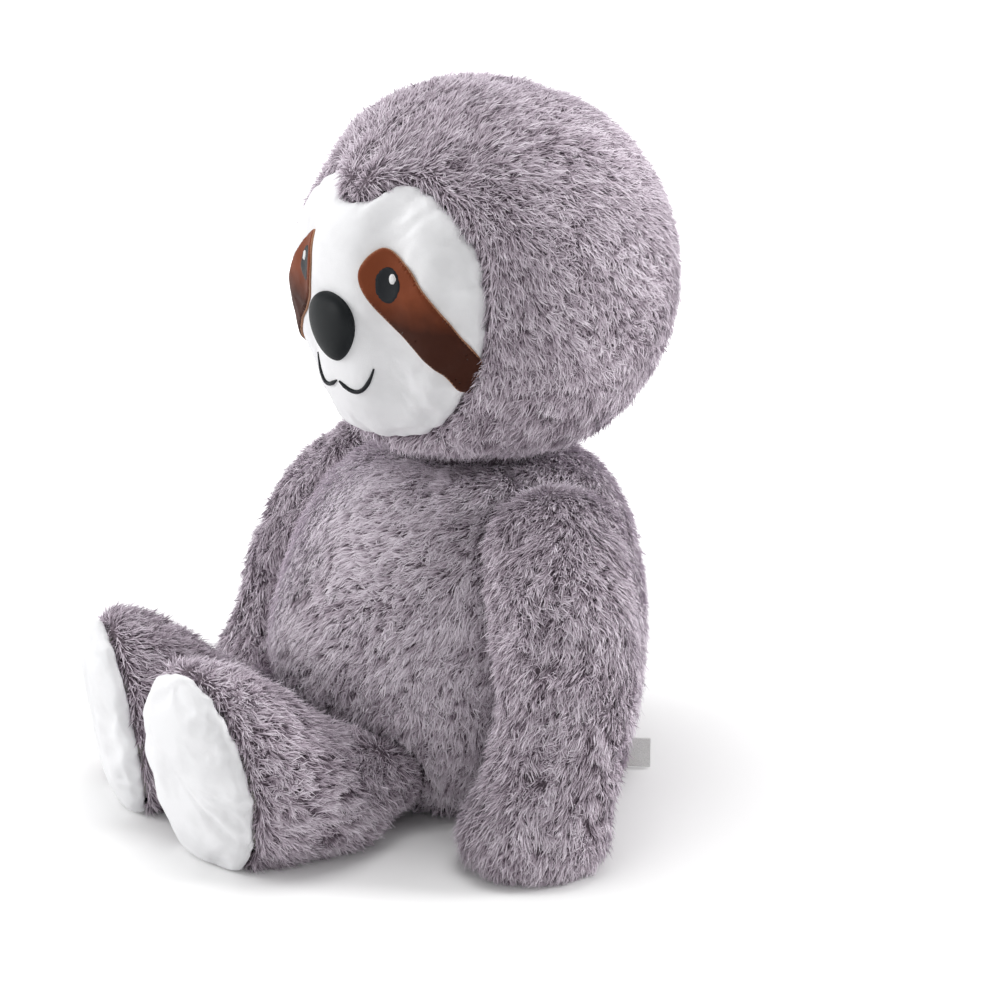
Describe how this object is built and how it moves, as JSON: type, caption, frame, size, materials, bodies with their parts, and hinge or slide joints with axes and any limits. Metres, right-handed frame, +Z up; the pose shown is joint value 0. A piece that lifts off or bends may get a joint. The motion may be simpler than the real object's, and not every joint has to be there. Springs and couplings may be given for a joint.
{
  "type": "weighted plush toy",
  "caption": "Sitting weighted plush toy with a round head, a drop-shaped body, hanging arms, short legs with smooth soles, and bead bags inside.",
  "frame": {"origin": "middle of the flat seat on which the toy sits", "axes": "+Z up, -Y the way the belly and the feet face, +X the toy's own left"},
  "size_m": [0.354, 0.3211, 0.382],
  "materials": {
    "fur": "long soft pile",
    "white_cloth": "short smooth pile",
    "patch_cloth": "velour with a satin-stitched edge",
    "eye_thread": "satin stitch",
    "glint_thread": "satin stitch",
    "nose_satin": "satin",
    "stuffing_fibre": "loose fibre",
    "bag_cloth": "plain weave",
    "glass_bead": "fine beads",
    "label_satin": "satin ribbon, bare"
  },
  "bodies": {
    "torso": {"belly_panel": "fur", "back_panel_left": "fur", "back_panel_right": "fur", "seat_panel": "fur", "torso_stuffing": "stuffing_fibre", "seat_bead_bag": "bag_cloth", "seat_beads": "glass_bead", "care_label": "label_satin"},
    "neck": {"neck_stuffing": "stuffing_fibre"},
    "head": {"head_side_left": "fur", "head_side_right": "fur", "face_panel": "white_cloth", "head_stuffing": "stuffing_fibre", "nose_pad": "nose_satin", "eye_patch_left": "patch_cloth", "eye_left": "eye_thread", "eye_glint_left": "glint_thread", "mouth_stitch_left": "eye_thread", "eye_patch_right": "patch_cloth", "eye_right": "eye_thread", "eye_glint_right": "glint_thread", "mouth_stitch_right": "eye_thread"},
    "left_arm": {"left_arm_outer_panel": "fur", "left_arm_inner_panel": "fur", "left_arm_stuffing": "stuffing_fibre", "left_paw_bead_bag": "bag_cloth", "left_paw_beads": "glass_bead"},
    "left_leg": {"left_leg_outer_panel": "fur", "left_leg_inner_panel": "fur", "left_sole_panel": "white_cloth", "left_leg_stuffing": "stuffing_fibre", "left_foot_bead_bag": "bag_cloth", "left_foot_beads": "glass_bead"},
    "right_arm": {"right_arm_outer_panel": "fur", "right_arm_inner_panel": "fur", "right_arm_stuffing": "stuffing_fibre", "right_paw_bead_bag": "bag_cloth", "right_paw_beads": "glass_bead"},
    "right_leg": {"right_leg_outer_panel": "fur", "right_leg_inner_panel": "fur", "right_sole_panel": "white_cloth", "right_leg_stuffing": "stuffing_fibre", "right_foot_bead_bag": "bag_cloth", "right_foot_beads": "glass_bead"}
  },
  "joints": [
    {"name": "neck_turn", "type": "hinge", "parent": "torso", "child": "neck", "pos_m": [0, 0.006, 0.186], "axis": [0, 0, 1], "range_deg": [-20, 20], "stiffness_Nm_per_rad": 6},
    {"name": "head_nod", "type": "hinge", "parent": "neck", "child": "head", "pos_m": [0, 0.006, 0.186], "axis": [1, 0, 0], "range_deg": [-5, 7], "stiffness_Nm_per_rad": 25},
    {"name": "left_arm_lift", "type": "hinge", "parent": "torso", "child": "left_arm", "pos_m": [0.08862, -0.002, 0.151], "axis": [0, -1, 0], "range_deg": [0, 60]},
    {"name": "right_arm_lift", "type": "hinge", "parent": "torso", "child": "right_arm", "pos_m": [-0.08862, -0.002, 0.151], "axis": [0, 1, 0], "range_deg": [0, 60]},
    {"name": "left_leg_lift", "type": "hinge", "parent": "torso", "child": "left_leg", "pos_m": [0.045, -0.084, 0.03], "axis": [-1, 0, 0], "range_deg": [-18, 18]},
    {"name": "right_leg_lift", "type": "hinge", "parent": "torso", "child": "right_leg", "pos_m": [-0.045, -0.084, 0.03], "axis": [-1, 0, 0], "range_deg": [-18, 18]}
  ]
}
